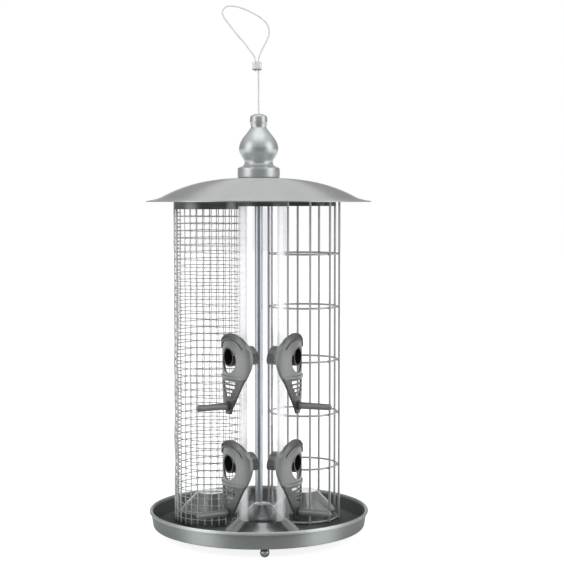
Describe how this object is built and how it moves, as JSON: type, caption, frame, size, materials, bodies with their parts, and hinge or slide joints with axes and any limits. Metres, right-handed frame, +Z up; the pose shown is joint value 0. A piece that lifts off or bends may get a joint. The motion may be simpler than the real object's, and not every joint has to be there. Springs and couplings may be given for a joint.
{
  "type": "bird feeding station",
  "caption": "Hanging bird feeder with a domed roof, a round tray and separate tubes for peanuts, fat balls and seed on a centre rod, with perched ports on the clear tube.",
  "frame": {"origin": "on the ground under the centre rod, level with the undersides of the three ball feet", "axes": "+Z up along the centre rod, -Y towards the clear seed tube at the front, +X to the right as seen from the front, towards the fat ball cage"},
  "size_m": [0.22, 0.22, 0.5185],
  "materials": {
    "grey_enamel": "grey hammered enamel on pressed steel",
    "roof_enamel": "satin silver grey enamel on spun steel",
    "silver_lacquer": "glossy silver lacquer on a moulded knob",
    "polished_steel": "polished plain steel",
    "galvanised_wire": "drawn and galvanised wire, spot-welded",
    "cage_wire": "drawn wire with a grey powder coat, spot-welded",
    "clear_acrylic": "clear extruded tube",
    "grey_moulding": "satin grey injection moulding",
    "dark_moulding": "dark grey injection moulding",
    "brass": "turned threaded insert",
    "coated_cable": "steel cable in a pale clear coat",
    "pressed_aluminium": "pressed sleeve"
  },
  "bodies": {
    "station": {"tray": "grey_enamel", "tray_feet": "polished_steel", "foot_nuts": "polished_steel", "centre_rod": "polished_steel", "rod_floor_washer": "polished_steel", "rod_lower_washer": "polished_steel", "rod_lower_nut": "polished_steel", "peanut_base": "grey_enamel", "fat_ball_base": "grey_enamel", "seed_base": "grey_enamel", "base_screws": "polished_steel", "mesh_wires": "galvanised_wire", "mesh_rings": "galvanised_wire", "mesh_top_band": "galvanised_wire", "cage_rods": "cage_wire", "cage_hoops": "cage_wire", "seed_tube": "clear_acrylic", "port_hood_upper_left": "grey_moulding", "port_hood_upper_right": "grey_moulding", "port_hood_lower_left": "grey_moulding", "port_hood_lower_right": "grey_moulding", "port_sleeve_upper_left": "dark_moulding", "port_sleeve_upper_right": "dark_moulding", "port_sleeve_lower_left": "dark_moulding", "port_sleeve_lower_right": "dark_moulding", "perch_upper_left": "grey_moulding", "perch_upper_right": "grey_moulding", "perch_lower_left": "grey_moulding", "perch_lower_right": "grey_moulding", "tube_holder": "dark_moulding", "holder_nut": "polished_steel", "roof_spacer": "polished_steel", "hanger_wire": "coated_cable", "hanger_crimp": "pressed_aluminium"},
    "roof": {"roof": "roof_enamel"},
    "finial": {"finial": "silver_lacquer", "finial_insert": "brass"}
  },
  "joints": [
    {"name": "roof_lift", "type": "slide", "parent": "station", "child": "roof", "axis": [0, 0, 1], "range_m": [0, 0.04]},
    {"name": "finial_turn", "type": "hinge", "parent": "roof", "child": "finial", "pos_m": [0, 0, 0.36], "axis": [0, 0, 1], "continuous": true}
  ]
}
